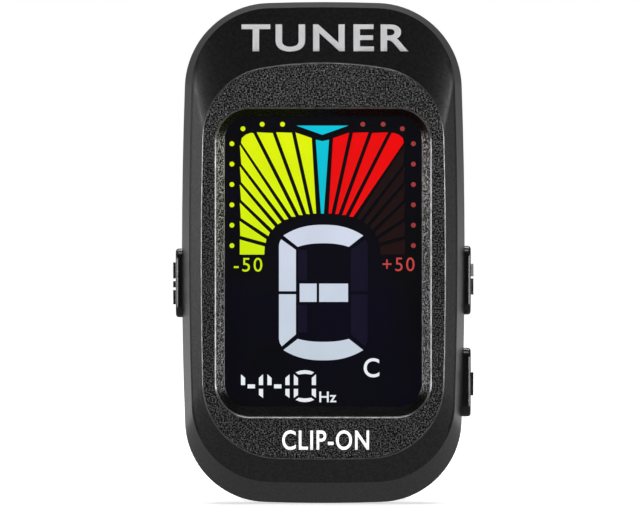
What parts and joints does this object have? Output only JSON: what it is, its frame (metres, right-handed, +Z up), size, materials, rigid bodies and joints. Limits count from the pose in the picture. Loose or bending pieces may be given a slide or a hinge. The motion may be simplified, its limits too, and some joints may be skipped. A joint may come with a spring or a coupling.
{
  "type": "clip-on instrument tuner",
  "caption": "Clip-on instrument tuner: a rounded upright head with a bevelled display window and side keys, on a ball joint, with a sprung clip and ribbed rubber jaws behind it.",
  "frame": {"origin": "on the ground plane under the middle of the whole object, standing upright on the head's lower edge and the clip's jaw ends", "axes": "+Z up along the head's height, +X to the right of someone facing the display, -Y out of the display"},
  "size_m": [0.0336, 0.0518, 0.056],
  "materials": {
    "casing": "fine spark-eroded texture",
    "keys": "satin, moulded",
    "clip": "fine spark-eroded texture",
    "window": "polished, smoked",
    "gasket": "matt",
    "lcd": "polished, dark ground",
    "light_guide": "clear, dot printed",
    "reflector": "white, matt",
    "lamp": "moulded resin",
    "zebra": "layered silicone",
    "board": "solder mask",
    "package": "moulded resin",
    "can": "nickel plated",
    "capacitor": "ceramic, tinned ends",
    "coin": "satin, pressed",
    "piezo_brass": "rolled",
    "piezo_white": "silvered ceramic",
    "wire": "sleeved",
    "screw": "black zinc",
    "plunger": "acetal",
    "stud": "smooth acetal",
    "spring": "drawn wire",
    "pin": "ground",
    "pad": "ribbed silicone"
  },
  "bodies": {
    "clip": {"clip_front_arm": "clip", "front_jaw_pad": "pad", "pivot_pin": "pin", "torsion_spring": "spring", "seat_spring": "spring"},
    "rear_jaw": {"clip_rear_arm": "clip", "rear_jaw_pad": "pad"},
    "swivel_seat": {"ball_seat": "plunger"},
    "stud": {"ball_stud": "stud", "stud_washer": "screw", "stud_screw": "screw"},
    "head": {"front_housing": "casing", "rear_housing": "casing", "housing_screws": "screw", "display_window": "window", "window_gasket": "gasket", "lcd_cell": "lcd", "backlight_guide": "light_guide", "backlight_reflector": "reflector", "backlight_leds": "lamp", "lcd_frame": "reflector", "zebra_connector": "zebra", "main_board": "board", "controller_chip": "package", "crystal": "can", "board_capacitors": "capacitor", "coin_cell": "coin", "battery_contact_plus": "can", "battery_contact_minus": "can", "piezo_disc": "piezo_brass", "piezo_ceramic": "piezo_white", "piezo_leads": "wire", "power_switch": "package", "up_switch": "package", "down_switch": "package"},
    "power_key": {"power_button": "keys", "power_plunger": "plunger"},
    "up_key": {"up_button": "keys", "up_plunger": "plunger"},
    "down_key": {"down_button": "keys", "down_plunger": "plunger"},
    "door": {"battery_door": "casing"}
  },
  "joints": [
    {"name": "seat_turn", "type": "hinge", "parent": "clip", "child": "swivel_seat", "pos_m": [0, -0.0055, 0.021], "axis": [0, 1, 0], "continuous": true},
    {"name": "ball_tilt", "type": "hinge", "parent": "swivel_seat", "child": "stud", "pos_m": [0, -0.0055, 0.021], "axis": [1, 0, 0], "range_deg": [-25, 25]},
    {"name": "head_spin", "type": "hinge", "parent": "stud", "child": "head", "pos_m": [0, -0.0055, 0.021], "axis": [0, 1, 0], "continuous": true},
    {"name": "jaw_open", "type": "hinge", "parent": "clip", "child": "rear_jaw", "pos_m": [0, 0.009, 0.031], "axis": [1, 0, 0], "range_deg": [0, 40], "stiffness_Nm_per_rad": 0.1, "springref_deg": -28.65, "deforming": ["torsion_spring"]},
    {"name": "power_press", "type": "slide", "parent": "head", "child": "power_key", "axis": [1, 0, 0], "range_m": [0, 0.00035], "stiffness_N_per_m": 4000},
    {"name": "up_press", "type": "slide", "parent": "head", "child": "up_key", "axis": [-1, 0, 0], "range_m": [0, 0.00035], "stiffness_N_per_m": 4000},
    {"name": "down_press", "type": "slide", "parent": "head", "child": "down_key", "axis": [-1, 0, 0], "range_m": [0, 0.00035], "stiffness_N_per_m": 4000},
    {"name": "door_slide", "type": "slide", "parent": "head", "child": "door", "axis": [0, 0, 1], "range_m": [0, 0.027]}
  ]
}
